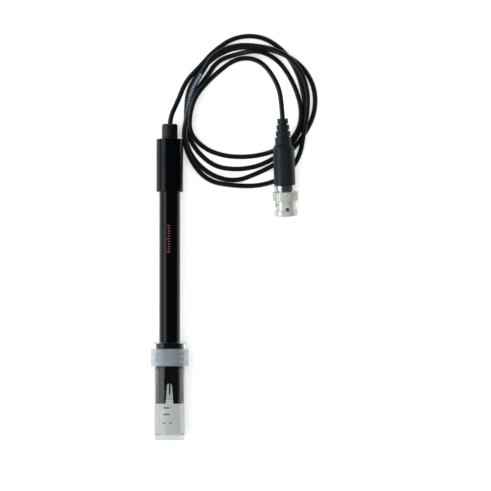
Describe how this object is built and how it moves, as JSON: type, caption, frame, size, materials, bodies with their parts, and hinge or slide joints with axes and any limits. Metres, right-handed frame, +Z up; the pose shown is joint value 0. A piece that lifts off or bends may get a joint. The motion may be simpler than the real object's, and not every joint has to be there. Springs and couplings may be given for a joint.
{
  "type": "ph electrode",
  "caption": "Combination pH electrode with slotted bulb guard, coiled coaxial lead with bayonet plug, and a screw-cap storage bottle sealed round the tip.",
  "frame": {"origin": "on the ground, under the middle of the electrode with its bottle, the lead and plug left out", "axes": "+Z up; the electrode lies along Y with its tip towards -Y and its cable end towards +Y; +X towards the coiled lead"},
  "size_m": [0.096, 0.2331, 0.0219],
  "materials": {
    "shaft_plastic": "glossy black moulding",
    "handle_plastic": "glossy black moulding",
    "black_rubber": "satin black",
    "membrane_glass": "clear thin glass",
    "liquid": "clear liquid",
    "silver": "dull silver wire",
    "gel": "cloudy gel",
    "ceramic": "porous white",
    "resin": "cast resin",
    "core_insulation": "white insulation",
    "copper": "twisted bare wire",
    "cable_jacket": "satin black cable jacket",
    "nickel": "bright nickel plate",
    "nut_nickel": "bright nickel plate",
    "gasket": "soft gasket",
    "spring_metal": "spring steel",
    "gold_plate": "gold plate",
    "grip_plastic": "satin blue-black moulding",
    "cap_plastic": "frosted translucent",
    "bottle_plastic": "clear moulding"
  },
  "bodies": {
    "electrode": {"body_tube": "shaft_plastic", "handle_cap": "handle_plastic", "strain_relief_boot": "black_rubber", "glass_membrane": "membrane_glass", "inner_buffer": "liquid", "measuring_wire": "silver", "reference_gel": "gel", "reference_wire": "silver", "ceramic_junction": "ceramic", "stem_seal": "black_rubber", "upper_potting": "resin", "handle_core": "core_insulation", "screen_pigtail": "copper", "cord_lead": "cable_jacket", "cord_coil": "cable_jacket", "cord_tail": "cable_jacket", "plug_body": "nickel", "mouth_gasket": "gasket", "spring_washer": "spring_metal", "rear_collar": "nickel", "insulator": "core_insulation", "centre_pin": "gold_plate", "plug_core": "core_insulation", "crimp_ferrule": "nickel", "plug_grip": "grip_plastic"},
    "seal": {"seal_ring": "black_rubber"},
    "cap": {"bottle_cap": "cap_plastic"},
    "bottle": {"storage_bottle": "bottle_plastic", "storage_solution": "liquid"},
    "washer": {"thrust_washer": "spring_metal"},
    "nut": {"coupling_nut": "nut_nickel"}
  },
  "joints": [
    {"name": "bottle_pull_off", "type": "slide", "parent": "electrode", "child": "seal", "axis": [0, -0.9997, 0.0257], "range_m": [0, 0.062]},
    {"name": "cap_turn", "type": "hinge", "parent": "seal", "child": "cap", "pos_m": [0, -0.03859, 0.01083], "axis": [0, -0.9997, 0.0257], "range_deg": [0, 720]},
    {"name": "bottle_unscrew", "type": "slide", "parent": "seal", "child": "bottle", "axis": [0, -0.9997, 0.0257], "range_m": [0, 0.006]},
    {"name": "nut_float", "type": "slide", "parent": "electrode", "child": "washer", "axis": [0.0347, -0.9949, -0.0944], "range_m": [0, 0.0005], "stiffness_N_per_m": 8000, "springref_m": -0.0005, "deforming": ["spring_washer"]},
    {"name": "nut_turn", "type": "hinge", "parent": "washer", "child": "nut", "pos_m": [0.06646, 0.04476, 0.00734], "axis": [0.0347, -0.9949, -0.0944], "continuous": true}
  ],
  "couplings": [
    {"joint": "cap_turn", "follows": "bottle_unscrew", "rad_per_m": 2094.4}
  ]
}
